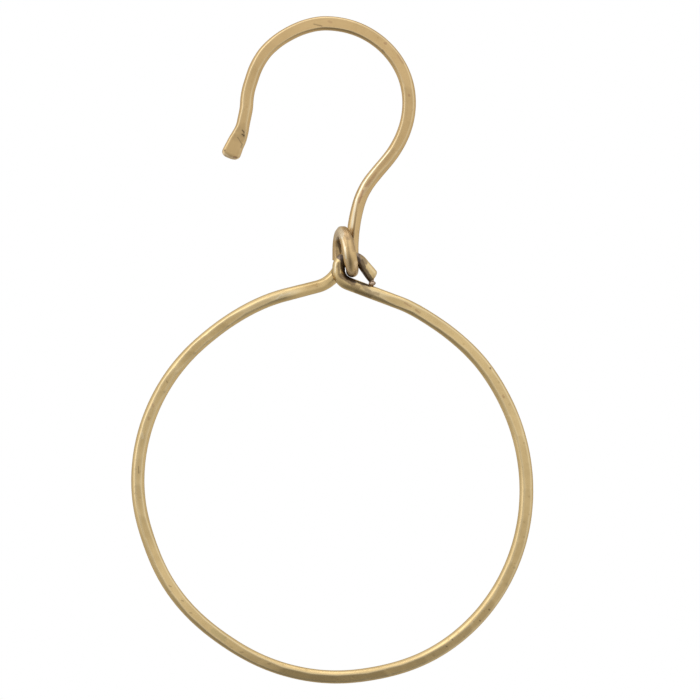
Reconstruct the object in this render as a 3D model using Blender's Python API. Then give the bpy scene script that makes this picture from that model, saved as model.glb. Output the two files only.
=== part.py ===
"""Hook ring of hand-bent brass wire: a hook whose end is coiled once round the eye of a wire ring.

Metres, +Z up, the viewer at -Y. The origin is the inner top of the hook's crook, where a rail bears.
Each wire is one centreline of runs and bends, lofted through sections that pass from round wire at
the links to wire hammered flat, front and back, along the crook and the ring.
"""

import math

import bmesh
import bpy
from mathutils import Vector

# Wire stock, and the room left between pieces that touch
WIRE_DIAMETER = 0.0040
CLEARANCE = 0.0003
CUT_END_BREAK = 0.0005  # the broken edge round a cut end

# Crook of the hook: radius on the wire's centreline, widths as seen from the front
CROOK_RADIUS = 0.0259
CROOK_TOP_WIDTH = 0.0046
CROOK_SIDE_WIDTH = 0.0042
CROOK_THICKNESS = 0.0032
CROOK_FLAT_WIDTH = 0.0027
CROOK_END_ANGLE = math.radians(38.5)  # how far below the horizontal the crook ends, on the shank's side

# Paddle at the tip, beaten out wider and thinner than the wire
TIP_FLARE_RADIUS = 0.024
TIP_FLARE_ANGLE = math.radians(31.0)
PADDLE_START_SHARE = 0.38  # share of the flare where the wire starts to widen
PADDLE_TURN_RADIUS = 0.010
PADDLE_TURN_ANGLE = math.radians(20.0)  # the paddle turns back towards the vertical
PADDLE_WIDTH = 0.0060
PADDLE_FLAT_WIDTH = 0.0038
PADDLE_THICKNESS = 0.0019
PADDLE_END_LENGTH = 0.0020
PADDLE_RIM_THICKNESS = 0.0011
PADDLE_CAP_SHARE = 0.28  # share of the paddle's width left at its blunt end

# Neck and shank, from the crook down to the coil
SLANT_LENGTH = 0.0097
NECK_RADIUS = 0.024
NECK_TURN_SHARE = 0.60  # share of the slant's angle taken out by the neck; the shank's bend takes the rest
SHANK_BEND_RADIUS = 0.054
SHANK_RUN = 0.0006

# Coil at the hook's end: one turn round the ring's eye
COIL_HALF_HEIGHT = 0.0062
COIL_HALF_DEPTH = 0.0056
COIL_TURN_GAP = 0.00036
COIL_SHIFT_START = math.radians(84.0)  # how far round the turn the wire starts to step to the left
COIL_TAIL_LENGTH = 0.0025

# Ring
RING_RADIUS = 0.0618
RING_WIDTH = 0.00415
RING_THICKNESS = 0.0032
RING_FLAT_WIDTH = 0.0027
RING_SIDE_SHIFT = 0.0062  # the ring's centre lies this far to the left of the linked strand
NECK_RISE = 0.00665  # how far the linked strand stands above the ring's circle
LEFT_SHOULDER_RISE = 0.0009  # how far the ring stands out of its circle where its ends run up
RIGHT_SHOULDER_RISE = 0.0003
SHOULDER_ANGLE = math.radians(28.0)
LOBE_SHARES = {2: 0.0128, 3: 0.0050}  # lobes round the hand-bent ring: share of its radius
LOBE_TURNS = {2: math.radians(-68.0), 3: math.radians(-166.0)}
LOBE_FADE_ANGLE = math.radians(22.0)
SWELL_SHARE = 0.03  # the wire is this much wider on the ring's right than its mean
SWELL_TURN = math.radians(-15.0)

# Eye on the ring's right end, wrapped round the coil's strand
EYE_ROOM = 0.0007
EYE_ROOM_DIRECTION = math.radians(45.0)
EYE_CORNER_SHARE = 0.75  # share of the eye's upper left that its corner takes up
EYE_TAIL_ANGLE = math.radians(52.0)
EYE_TAIL_LENGTH = 0.0050
EYE_TAIL_WIDTH = 0.0036
EYE_TAIL_FLAT_WIDTH = 0.0008

# Left end of the ring, tucked behind the eye
LEFT_BEND_RADIUS = 0.0108
LEFT_END_HEADING = math.radians(60.0)
LEFT_END_ASIDE = 0.00035  # how far the cut end stops short of the eye's own left side
LEFT_END_DROP = 0.0003
LEFT_END_SET_BACK = 0.0050
LEFT_SETTLE_SHARE = 0.45  # share of the left bend by which the wire lies at its full depth

# Filler metal
BEAD_WIDTH = 0.0023
BEAD_DEPTH = 0.0025
BEAD_ASIDE = 0.0003  # how far the bead lies to the left of the tail's end
BRAZE_WIDTH = 0.0044
BRAZE_HEIGHT = 0.0052
BRAZE_DEPTH = 0.0044
BRAZE_ASIDE = 0.00035  # how far the pad reaches over from the cut end towards the eye's inside
BRAZE_DROP = 0.0005

# Fineness of the lofts
SECTION_SIDES = 16
ARC_STEP = math.radians(4.5)
TIGHT_STEP = math.radians(10.0)
ROUNDING_STEPS = 5
RUN_STEP = 0.0024
DROP_SEGMENTS = 24
DROP_RINGS = 14
SHARP_EDGE_ANGLE = math.radians(35.0)

# Finishes: linear colour and roughness
HOOK_BRASS = ((0.50, 0.36, 0.15), 0.36)
RING_BRASS = ((0.48, 0.35, 0.15), 0.38)
BEAD_FILLER = ((0.42, 0.30, 0.17), 0.5)
BRAZE_FILLER = ((0.34, 0.25, 0.15), 0.55)

WIRE_RADIUS = WIRE_DIAMETER / 2
LINK_PITCH = WIRE_DIAMETER + CLEARANCE  # between the centrelines of two wires that touch
RIGHT = Vector((1.0, 0.0, 0.0))
BACK = Vector((0.0, 1.0, 0.0))
UP = Vector((0.0, 0.0, 1.0))
HALF_TURN = math.pi
QUARTER_TURN = math.pi / 2
FULL_TURN = math.tau


def clear_scene():
    for item in list(bpy.data.objects):
        bpy.data.objects.remove(item, do_unlink=True)


def new_collection(name):
    collection = bpy.data.collections.new(name)
    bpy.context.scene.collection.children.link(collection)
    return collection


def smooth_step(share):
    share = max(0.0, min(1.0, share))
    return share * share * (3.0 - 2.0 * share)


def mix(first, second, share):
    return first + (second - first) * share


def along(heading):
    """The unit vector of a heading in the front view: 0 is right, a quarter turn is up."""
    return Vector((math.cos(heading), 0.0, math.sin(heading)))


class Section:
    """A cross-section of the wire: its width in the front view, its thickness and its flats."""

    def __init__(self, width, thickness, flat):
        self.width = width
        self.thickness = thickness
        self.flat = flat

    def toward(self, other, share):
        width = mix(self.width, other.width, share)
        thickness = mix(self.thickness, other.thickness, share)
        return Section(width, thickness, mix(self.flat, other.flat, share))

    def offset(self, amount):
        return Section(self.width + amount * 2, self.thickness + amount * 2, self.flat)

    def outline(self):
        """Points round the section as (across, back), with its facets on the true surface."""
        half_step = HALF_TURN / SECTION_SIDES
        shoulder = (self.width - self.flat) / 2 / math.cos(half_step)
        rise = self.thickness / 2 / math.cos(half_step)
        points = []
        for side in range(SECTION_SIDES):
            angle = (side * 2 + 1) * half_step
            across = math.cos(angle) * shoulder
            points.append((across + math.copysign(self.flat / 2, across), math.sin(angle) * rise))
        return points


ROUND = Section(WIRE_DIAMETER, WIRE_DIAMETER, 0.0)
CUT_END = ROUND.offset(-CUT_END_BREAK)
CROOK_TOP = Section(CROOK_TOP_WIDTH, CROOK_THICKNESS, CROOK_FLAT_WIDTH)
CROOK_SIDE = Section(CROOK_SIDE_WIDTH, CROOK_THICKNESS, CROOK_FLAT_WIDTH)
PADDLE = Section(PADDLE_WIDTH, PADDLE_THICKNESS, PADDLE_FLAT_WIDTH)
EYE_TAIL = Section(EYE_TAIL_WIDTH, WIRE_DIAMETER, EYE_TAIL_FLAT_WIDTH)


class Wire:
    """A wire laid out as on a bending jig: runs and bends in the front view, with its sections."""

    def __init__(self, point, heading, section):
        self.points = [point.copy()]
        self.sections = [section]
        self.heading = heading

    def add(self, point, section):
        self.points.append(point)
        self.sections.append(section)

    def run(self, length, section):
        """A straight run that passes smoothly into a section."""
        start = self.points[-1].copy()
        first = self.sections[-1]
        count = max(1, math.ceil(length / RUN_STEP))
        for number in range(1, count + 1):
            share = number / count
            point = start + along(self.heading) * length * share
            self.add(point, first.toward(section, smooth_step(share)))

    def bend(self, radius, angle, section, step=ARC_STEP):
        """A bend, to the left for a positive angle, that passes smoothly into a section."""
        side = math.copysign(QUARTER_TURN, angle)
        centre = self.points[-1] + along(self.heading + side) * radius
        first = self.sections[-1]
        begin = self.heading
        count = max(1, math.ceil(abs(angle) / step))
        for number in range(1, count + 1):
            share = number / count
            self.heading = begin + angle * share
            point = centre - along(self.heading + side) * radius
            self.add(point, first.toward(section, smooth_step(share)))

    def cut(self):
        """A cut end, its edge broken all round."""
        point = self.points[-1] + along(self.heading) * CUT_END_BREAK
        self.add(point, self.sections[-1].offset(-CUT_END_BREAK))

    def reverse(self):
        self.points.reverse()
        self.sections.reverse()
        self.heading += HALF_TURN


def lengths_of(points):
    lengths = [0.0]
    for before, after in zip(points, points[1:]):
        lengths.append(lengths[-1] + (after - before).length)
    return lengths


def tangent_at(points, index):
    before = points[max(index - 1, 0)]
    after = points[min(index + 1, len(points) - 1)]
    return (after - before).normalized()


def backs_along(points, level_index):
    """For each point the direction of the section's back, carried both ways from a level stretch."""
    tangents = [tangent_at(points, index) for index in range(len(points))]
    backs = [BACK] * len(points)
    for way in (1, -1):
        back = BACK
        last = len(points) if way == 1 else -1
        for index in range(level_index, last, way):
            back = (back - tangents[index] * back.dot(tangents[index])).normalized()
            backs[index] = back
    return tangents, backs


def loft(name, wire, level_index, grow=0.0):
    """The wire as one closed mesh: a ring of points per station, and flat caps at its two ends."""
    tangents, backs = backs_along(wire.points, level_index)
    centres = list(wire.points)
    centres[0] = centres[0] - tangents[0] * grow
    centres[-1] = centres[-1] + tangents[-1] * grow
    made = bmesh.new()
    rings = []
    for point, section, tangent, back in zip(centres, wire.sections, tangents, backs):
        across = back.cross(tangent)
        outline = section.offset(grow).outline()
        rings.append([made.verts.new(point + across * x + back * y) for x, y in outline])
    for ring, following in zip(rings, rings[1:]):
        for side in range(SECTION_SIDES):
            neighbour = (side + 1) % SECTION_SIDES
            made.faces.new((ring[side], ring[neighbour], following[neighbour], following[side]))
    made.faces.new(rings[0])
    made.faces.new(rings[-1])
    bmesh.ops.recalc_face_normals(made, faces=made.faces)
    mesh = bpy.data.meshes.new(name)
    made.to_mesh(mesh)
    made.free()
    mesh.shade_smooth()
    mesh.set_sharp_from_angle(angle=SHARP_EDGE_ANGLE)
    return bpy.data.objects.new(name, mesh)


def metal(name, finish):
    colour, roughness = finish
    material = bpy.data.materials.new(name)
    material.use_nodes = True
    material.diffuse_color = (*colour, 1.0)
    shader = material.node_tree.nodes["Principled BSDF"]
    shader.inputs["Base Color"].default_value = (*colour, 1.0)
    shader.inputs["Metallic"].default_value = 1.0
    shader.inputs["Roughness"].default_value = roughness
    return material


def hook_layout():
    """The hook's wire from its paddle over the crook and down the shank to the coil's cut end.

    It also returns the places that the ring's eye is bent round: the strand at the coil's foot."""
    side_point = Vector((-CROOK_RADIUS, 0.0, CROOK_TOP_WIDTH / 2 - CROOK_RADIUS))

    wire = Wire(side_point, -QUARTER_TURN, CROOK_SIDE)
    wire.bend(TIP_FLARE_RADIUS, -TIP_FLARE_ANGLE * PADDLE_START_SHARE, CROOK_SIDE)
    wire.bend(TIP_FLARE_RADIUS, -TIP_FLARE_ANGLE * (1.0 - PADDLE_START_SHARE), PADDLE, ARC_STEP / 2)
    wire.bend(PADDLE_TURN_RADIUS, PADDLE_TURN_ANGLE, PADDLE, ARC_STEP)
    add_round_end(wire)
    wire.reverse()
    level_index = len(wire.points)

    wire.heading = QUARTER_TURN
    wire.bend(CROOK_RADIUS, -QUARTER_TURN, CROOK_TOP)
    wire.bend(CROOK_RADIUS, -QUARTER_TURN, CROOK_SIDE)
    wire.bend(CROOK_RADIUS, -CROOK_END_ANGLE, CROOK_SIDE)
    wire.run(SLANT_LENGTH, CROOK_SIDE)
    wire.bend(NECK_RADIUS, CROOK_END_ANGLE * NECK_TURN_SHARE, ROUND)
    wire.bend(SHANK_BEND_RADIUS, CROOK_END_ANGLE * (1.0 - NECK_TURN_SHARE), ROUND)
    wire.run(SHANK_RUN, ROUND)
    strand = add_coil(wire)
    return wire, level_index, strand


def add_round_end(wire):
    """The paddle's rounded end, its stations closer together as the outline turns in."""
    start = wire.points[-1].copy()
    last_angle = math.acos(PADDLE_CAP_SHARE)
    for number in range(1, ROUNDING_STEPS + 1):
        angle = last_angle * number / ROUNDING_STEPS
        narrowing = math.cos(angle)
        thickness = mix(PADDLE_THICKNESS, PADDLE_RIM_THICKNESS, math.sin(angle))
        section = Section(PADDLE_WIDTH * narrowing, thickness, PADDLE_FLAT_WIDTH * narrowing)
        wire.add(start + along(wire.heading) * PADDLE_END_LENGTH * math.sin(angle), section)


def add_coil(wire):
    """One turn about the X axis, back to front under the ring's eye, stepping one wire to the left."""
    start = wire.points[-1].copy()
    centre = start - BACK * COIL_HALF_DEPTH
    pitch = WIRE_DIAMETER + COIL_TURN_GAP
    count = math.ceil(FULL_TURN / TIGHT_STEP)
    for number in range(1, count + 1):
        angle = FULL_TURN * number / count
        sideways = smooth_step((angle - COIL_SHIFT_START) / (FULL_TURN - COIL_SHIFT_START))
        point = Vector((
            centre.x - pitch * sideways,
            centre.y + COIL_HALF_DEPTH * math.cos(angle),
            centre.z - COIL_HALF_HEIGHT * math.sin(angle),
        ))
        wire.add(point, ROUND)
    wire.run(COIL_TAIL_LENGTH, ROUND)
    wire.cut()
    return Vector((centre.x, centre.y, centre.z - COIL_HALF_HEIGHT))


class EyePlan:
    """The places that lay out the ring's ends, worked out from the strand that its eye hangs on."""

    def __init__(self, strand):
        self.strand = strand
        self.bend_radius = LINK_PITCH + EYE_ROOM
        self.bend_centre = strand + along(EYE_ROOM_DIRECTION) * EYE_ROOM
        self.left_x = self.bend_centre.x - self.bend_radius
        self.bar_z = strand.z + LINK_PITCH
        self.tail_radius = WIRE_RADIUS + CLEARANCE + EYE_TAIL_WIDTH / 2
        rise = self.bar_z - self.bend_centre.z
        self.corner_radius = rise * EYE_CORNER_SHARE
        self.side_run = rise - self.corner_radius
        self.bar_run = strand.x - self.left_x - self.corner_radius
        self.left_end = Vector((self.left_x - LEFT_END_ASIDE, strand.y, self.bend_centre.z - LEFT_END_DROP))
        self.ring_centre = strand - RIGHT * RING_SIDE_SHIFT - UP * (RING_RADIUS + NECK_RISE)
        self.shoulder = RING_RADIUS + RIGHT_SHOULDER_RISE
        self.right_angle, self.right_run = tangent_to_ring(
            self, self.bend_centre, self.bend_radius, self.shoulder, -1.0
        )


def tangent_to_ring(plan, bend_centre, bend_radius, shoulder_radius, side):
    """Polar angle and length of the straight that leaves the ring and runs on into a bend above it.

    The ring and the bend lie on either side of the straight."""
    offset = bend_centre - plan.ring_centre
    reach = shoulder_radius + bend_radius
    opening = math.acos(reach / offset.length)
    angle = math.atan2(offset.z, offset.x) + side * opening
    return angle, math.sqrt(offset.length_squared - reach * reach)


def ring_section(angle):
    width = RING_WIDTH * (1.0 + SWELL_SHARE * math.cos(angle - SWELL_TURN))
    return Section(width, RING_THICKNESS, RING_FLAT_WIDTH)


def ring_layout(plan):
    """The ring's wire from the end tucked behind the eye, round the ring and through the eye."""
    left_centre = plan.left_end + along(LEFT_END_HEADING + QUARTER_TURN) * LEFT_BEND_RADIUS
    left_shoulder = RING_RADIUS + LEFT_SHOULDER_RISE
    left_angle, left_run = tangent_to_ring(plan, left_centre, LEFT_BEND_RADIUS, left_shoulder, 1.0)
    right_angle = plan.right_angle + FULL_TURN
    left_slope = left_angle - QUARTER_TURN

    tip = plan.left_end + along(LEFT_END_HEADING) * CUT_END_BREAK
    wire = Wire(tip, LEFT_END_HEADING + HALF_TURN, CUT_END)
    wire.add(plan.left_end.copy(), ROUND)
    wire.bend(LEFT_BEND_RADIUS, left_slope - LEFT_END_HEADING, ROUND)
    bend_length = lengths_of(wire.points)[-1]
    wire.run(left_run, ring_section(left_angle))
    set_back_left_end(wire, bend_length * (1.0 - LEFT_SETTLE_SHARE))

    count = math.ceil((right_angle - left_angle) / ARC_STEP)
    for number in range(1, count + 1):
        angle = mix(left_angle, right_angle, number / count)
        radius = RING_RADIUS * (1.0 + lobes(angle, left_angle, right_angle))
        radius += LEFT_SHOULDER_RISE * smooth_step(1.0 - (angle - left_angle) / SHOULDER_ANGLE)
        radius += RIGHT_SHOULDER_RISE * smooth_step(1.0 - (right_angle - angle) / SHOULDER_ANGLE)
        wire.add(plan.ring_centre + along(angle) * radius, ring_section(angle))
    level_index = len(wire.points) - count // 2

    wire.heading = right_angle + QUARTER_TURN
    wire.run(plan.right_run, ROUND)
    wire.bend(plan.bend_radius, -plan.right_angle, ROUND, TIGHT_STEP)
    wire.run(plan.side_run, ROUND)
    wire.bend(plan.corner_radius, -QUARTER_TURN, ROUND, TIGHT_STEP)
    wire.run(plan.bar_run, ROUND)
    wire.bend(plan.tail_radius, -EYE_TAIL_ANGLE, EYE_TAIL, TIGHT_STEP)
    wire.run(EYE_TAIL_LENGTH, EYE_TAIL)
    wire.cut()
    return wire, level_index


def lobes(angle, first_angle, last_angle):
    """How far a hand-bent ring strays from its circle, as a share, fading out at its two ends."""
    total = sum(share * math.cos(count * angle - LOBE_TURNS[count]) for count, share in LOBE_SHARES.items())
    fade_in = smooth_step((angle - first_angle) / LOBE_FADE_ANGLE)
    fade_out = smooth_step((last_angle - angle) / LOBE_FADE_ANGLE)
    return total * fade_in * fade_out


def set_back_left_end(wire, settled_length):
    """Moves the left end behind the eye, easing back into the ring's own plane along its run."""
    lengths = lengths_of(wire.points)
    easing = lengths[-1] - settled_length
    for point, length in zip(wire.points, lengths):
        point += BACK * LEFT_END_SET_BACK * smooth_step((lengths[-1] - length) / easing)


def drop(name, centre, width, depth, height):
    """Filler metal before its seats are cut: a ball drawn out to three sizes."""
    made = bmesh.new()
    bmesh.ops.create_uvsphere(made, u_segments=DROP_SEGMENTS, v_segments=DROP_RINGS, radius=1.0)
    for vertex in made.verts:
        x, y, z = vertex.co
        vertex.co = Vector((x * width / 2, y * depth / 2, z * height / 2))
    mesh = bpy.data.meshes.new(name)
    made.to_mesh(mesh)
    made.free()
    mesh.shade_smooth()
    item = bpy.data.objects.new(name, mesh)
    item.location = centre
    return item


def seat_on(item, cutter):
    cut = item.modifiers.new("seats on the ring's wire", "BOOLEAN")
    cut.operation = "DIFFERENCE"
    cut.solver = "EXACT"
    cut.object = cutter


def closing_bead(plan, wire):
    """The drop of filler between the eye's cut tail and the ring's wire below it."""
    tail_end = wire.points[-1]
    on_ring = plan.ring_centre + along(plan.right_angle) * plan.shoulder
    slope = -math.cos(plan.right_angle) / math.sin(plan.right_angle)
    centre_x = tail_end.x - BEAD_ASIDE
    below_z = on_ring.z + (centre_x - on_ring.x) * slope
    height = tail_end.z - below_z
    centre = Vector((centre_x, tail_end.y, (tail_end.z + below_z) / 2))
    return drop("eye_closing_bead", centre, BEAD_WIDTH, BEAD_DEPTH, height)


def end_braze(plan):
    """The filler pad between the ring's left end and the back of the eye."""
    back_shift = BACK * LEFT_END_SET_BACK / 2
    centre = plan.left_end + back_shift + RIGHT * BRAZE_ASIDE - UP * BRAZE_DROP
    return drop("ring_end_braze", centre, BRAZE_WIDTH, BRAZE_DEPTH, BRAZE_HEIGHT)


def main():
    clear_scene()
    parts = new_collection("hook_ring")
    cutters = new_collection("cutters")

    hook_wire, hook_level, strand = hook_layout()
    hook = loft("hook_wire", hook_wire, hook_level)
    hook.data.materials.append(metal("hook_brass", HOOK_BRASS))
    parts.objects.link(hook)

    plan = EyePlan(strand)
    ring_wire, ring_level = ring_layout(plan)
    ring = loft("ring_wire", ring_wire, ring_level)
    ring.data.materials.append(metal("ring_brass", RING_BRASS))
    parts.objects.link(ring)

    seat_cutter = loft("ring_seat_cutter", ring_wire, ring_level, CLEARANCE)
    seat_cutter.hide_render = True
    seat_cutter.display_type = "WIRE"
    cutters.objects.link(seat_cutter)

    bead = closing_bead(plan, ring_wire)
    bead.data.materials.append(metal("bead_filler", BEAD_FILLER))
    braze = end_braze(plan)
    braze.data.materials.append(metal("braze_filler", BRAZE_FILLER))
    for item in (bead, braze):
        parts.objects.link(item)
        seat_on(item, seat_cutter)

    swing = bpy.data.objects.new("ring_swing", None)
    swing.empty_display_size = WIRE_DIAMETER
    swing.location = Vector((plan.strand.x, plan.strand.y, plan.bar_z))
    parts.objects.link(swing)
    bpy.context.view_layer.update()
    for item in (ring, bead, braze):
        item.parent = swing
        item.matrix_parent_inverse = swing.matrix_world.inverted()


main()
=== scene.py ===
import math

import bmesh
import bpy
import numpy as np
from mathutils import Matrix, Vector, noise


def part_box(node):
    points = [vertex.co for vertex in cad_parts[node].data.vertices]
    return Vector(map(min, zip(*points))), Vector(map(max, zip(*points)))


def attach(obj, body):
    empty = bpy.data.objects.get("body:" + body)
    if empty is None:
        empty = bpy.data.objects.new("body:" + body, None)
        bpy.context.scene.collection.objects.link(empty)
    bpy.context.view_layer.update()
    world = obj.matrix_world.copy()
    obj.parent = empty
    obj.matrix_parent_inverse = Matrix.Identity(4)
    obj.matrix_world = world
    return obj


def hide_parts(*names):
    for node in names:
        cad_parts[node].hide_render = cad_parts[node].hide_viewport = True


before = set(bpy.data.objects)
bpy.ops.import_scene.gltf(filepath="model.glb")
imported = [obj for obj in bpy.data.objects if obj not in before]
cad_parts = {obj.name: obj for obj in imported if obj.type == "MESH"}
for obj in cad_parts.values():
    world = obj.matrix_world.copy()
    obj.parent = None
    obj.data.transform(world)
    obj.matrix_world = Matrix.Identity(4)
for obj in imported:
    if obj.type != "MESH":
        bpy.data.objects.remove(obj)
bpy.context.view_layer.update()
scene = bpy.context.scene
print("frame loaded:", ", ".join(sorted(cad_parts)))

rightward = Vector((1.0, 0.0, 0.0))
backward = Vector((0.0, 1.0, 0.0))  # away from the viewer
upward = Vector((0.0, 0.0, 1.0))
quarterTurn = math.pi / 2
halfTurn = math.pi
fullTurn = math.tau


def smoothStep(share):
    share = max(0.0, min(1.0, share))
    return share * share * (3.0 - 2.0 * share)


def along(heading):  # heading in the front view: 0 is right, a quarter turn is up
    return Vector((math.cos(heading), 0.0, math.sin(heading)))


def fromDegrees(*angles):
    return [math.radians(angle) for angle in angles]


def placed(name, data):  # a new object in the scene
    holder = bpy.data.objects.new(name, data)
    scene.collection.objects.link(holder)
    return holder


# A section holds half the width, half the depth, half the flat, the flat's lean and the depth of its ridges
def section(halfWidth, halfDepth, halfFlat=0.0, lean=0.0, ridge=0.0):
    return np.array((halfWidth, halfDepth, halfFlat, math.radians(lean), ridge))


def namedSections(rows):
    return {name: section(*row) for name, row in rows.items()}


pathSteps = {"length": 0.00035, "fewestInRun": 2, "fewestInBend": 4}  # how finely a path is drawn, in metres
cutEnd = {"length": 0.0005, "narrowest": 0.72}  # a round wire's end, cut square and rubbed


class WirePath:  # a wire's centreline as it is bent, with its section at each point
    def __init__(self, point, heading, first):
        self.points = [point.copy()]
        self.sections = [first]
        self.directions = [None]  # only where the section isn't square to the centreline
        self.heading = heading

    def add(self, point, shape, direction=None):
        self.points.append(point)
        self.sections.append(shape)
        self.directions.append(direction)

    def run(self, length, shape):
        start = self.points[-1].copy()
        first = self.sections[-1]
        count = max(pathSteps["fewestInRun"], math.ceil(length / pathSteps["length"]))
        for number in range(1, count + 1):
            share = number / count
            point = start + along(self.heading) * length * share
            self.add(point, first + (shape - first) * smoothStep(share))

    def bend(self, radius, angle, shape):
        side = math.copysign(quarterTurn, angle)
        centre = self.points[-1] + along(self.heading + side) * radius
        first = self.sections[-1]
        begin = self.heading
        count = max(pathSteps["fewestInBend"], math.ceil(abs(angle) * radius / pathSteps["length"]))
        for number in range(1, count + 1):
            share = number / count
            self.heading = begin + angle * share
            point = centre - along(self.heading + side) * radius
            self.add(point, first + (shape - first) * smoothStep(share))

    # rounds the end off with sections that narrow, and may move it aside
    def closeEnd(self, length, narrowest, aside=0.0, count=7, bluntness=1.0):
        start = self.points[-1].copy()
        base = self.sections[-1]
        lastAngle = math.acos(narrowest)
        for number in range(1, count + 1):
            angle = lastAngle * number / count
            keep = math.cos(angle) ** bluntness
            shape = base * np.array((keep, keep, keep, 1.0, keep))
            sideways = along(self.heading + quarterTurn) * aside * (1.0 - keep)
            point = start + along(self.heading) * length * math.sin(angle) + sideways
            self.add(point, shape, along(self.heading))

    def reverse(self):
        self.points.reverse()
        self.sections.reverse()
        self.directions = [direction and -direction for direction in reversed(self.directions)]
        self.heading += halfTurn

    def sway(self, rows):  # moves the wire a little to its left, by the distance along it
        last = len(self.points) - 1
        shifts = []
        for index, distance in enumerate(lengthsOf(self.points)):
            tangent = self.points[min(index + 1, last)] - self.points[max(index - 1, 0)]
            shifts.append(tangent.cross(backward).normalized() * shallowBends(distance, rows))
        for point, shift in zip(self.points, shifts):
            point += shift


def shallowBends(place, rows, lap=None):  # adds up bends, each row a middle, a spread and a height
    total = 0.0
    for middle, spread, height in rows:
        apart = place - middle
        if lap:
            apart = (apart + lap / 2) % lap - lap / 2
        total += height * math.exp(-(apart / spread) ** 2)
    return total


def lengthsOf(points):
    steps = [(after - before).length for before, after in zip(points, points[1:])]
    return np.concatenate(([0.0], np.cumsum(steps)))


def crossFrames(path, levelIndex):  # the back and across directions at each point
    points = path.points
    last = len(points) - 1
    tangents = [(points[min(i + 1, last)] - points[max(i - 1, 0)]).normalized() for i in range(last + 1)]
    tangents = [direction or tangent for direction, tangent in zip(path.directions, tangents)]
    backs = [backward] * (last + 1)
    for order in (range(levelIndex, last + 1), range(levelIndex, -1, -1)):
        back = backward
        for index in order:
            back = (back - tangents[index] * back.dot(tangents[index])).normalized()
            backs[index] = back
    acrosses = [back.cross(tangent) for back, tangent in zip(backs, tangents)]
    return backs, acrosses


# Hook: the wire as it was bent by hand, in metres and degrees, close to the solid that it stands for
hookSizes = {
    "roundWire": 0.0020,  # half of the wire's thickness where it is left round
    "ridge": 0.00006,  # how deep the lines are that drawing left along it
    "crookRadius": 0.0259,
    "crookEndAngle": 38.5,
    "flareRadius": 0.024,
    "flareAngle": 31.0,
    "paddleStartShare": 0.45,
    "paddleTurnRadius": 0.025,
    "paddleTurnAngle": 8.0,
    "paddleEnd": {"length": 0.0019, "narrowest": 0.10, "aside": -0.00035, "count": 14, "bluntness": 0.7},
    "slant": 0.0097,
    "neckRadius": 0.024,
    "neckShare": 0.60,
    "shankBendRadius": 0.054,
    "shankRun": 0.0006,
    "sections": {  # half the width, half the depth, half the flat, and degrees that it leans
        "top": (0.0023, 0.00205, 0.00165, -8.0),
        "crown": (0.00222, 0.00205, 0.00155, -8.0),
        "shoulder": (0.00219, 0.0020, 0.00142, -3.0),
        "side": (0.00214, 0.0020, 0.00122),
        "slant": (0.00214, 0.0020, 0.00105, 4.0),
        "spread": (0.00285, 0.00172, 0.0023),
        "paddle": (0.00305, 0.00168, 0.0025),
    },
    "sways": (  # a middle along the wire, a spread and a height
        (0.0138, 0.0034, 0.00036), (0.0085, 0.0035, 0.00014), (0.0265, 0.0040, -0.00026),
        (0.0365, 0.0030, 0.00010), (0.0465, 0.0040, -0.00010), (0.0570, 0.0040, 0.00012),
        (0.0920, 0.0120, 0.00031), (0.1190, 0.0040, 0.00019), (0.0026, 0.0022, -0.00014),
    ),
}

# Coil: the turn at the hook's end, with places round it in quarter turns from the back
coilSizes = {
    "points": 110,
    "halfHeight": 0.0062,
    "halfDepth": 0.0056,
    "pitch": 0.00436,
    "shiftStart": 93.0,  # degrees round the turn where the wire starts to step to the left
    "tail": 0.0025,
    "swell": 0.00020,  # how much wider the wire is where it comes up in front of the eye
    "swellStart": 1.38,
    "swellRise": 0.3,
    "swellEnd": 2.6,
    "swellFall": 0.8,
    "eyeMiddle": 1.0,
    "eyeReach": 1.6,
    "sag": -0.00002,  # how much thinner the wire is where it lies in the eye
    "low": (0.98, 0.14, 0.00006),  # where it lies down and to the left there: a middle, a spread and a depth
}


def layHook(sizes, coil):
    shapes = namedSections(sizes["sections"])
    drawn = section(sizes["roundWire"], sizes["roundWire"], ridge=sizes["ridge"])
    radius = sizes["crookRadius"]
    crookEnd, flare = fromDegrees(sizes["crookEndAngle"], sizes["flareAngle"])

    start = Vector((-radius, 0.0, shapes["top"][0] - radius))  # so that the crook's inner top is the origin
    path = WirePath(start, -quarterTurn, shapes["side"])
    path.bend(sizes["flareRadius"], -flare * sizes["paddleStartShare"], shapes["side"])
    path.bend(sizes["flareRadius"], -flare * (1.0 - sizes["paddleStartShare"]), shapes["spread"])
    path.bend(sizes["paddleTurnRadius"], math.radians(sizes["paddleTurnAngle"]), shapes["paddle"])
    path.closeEnd(**sizes["paddleEnd"])
    path.reverse()
    levelIndex = len(path.points)

    path.heading = quarterTurn
    path.bend(radius, -quarterTurn, shapes["top"])
    path.bend(radius, -quarterTurn / 2, shapes["crown"])
    path.bend(radius, -quarterTurn / 2, shapes["shoulder"])
    path.bend(radius, -crookEnd, shapes["side"])
    path.run(sizes["slant"], shapes["slant"])
    path.bend(sizes["neckRadius"], crookEnd * sizes["neckShare"], drawn)
    path.bend(sizes["shankBendRadius"], crookEnd * (1.0 - sizes["neckShare"]), drawn)
    path.run(sizes["shankRun"], drawn)
    path.sway(sizes["sways"])
    strand = layCoil(path, coil, drawn)
    path.run(coil["tail"], drawn)
    path.closeEnd(**cutEnd)
    return path, levelIndex, strand


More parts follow.
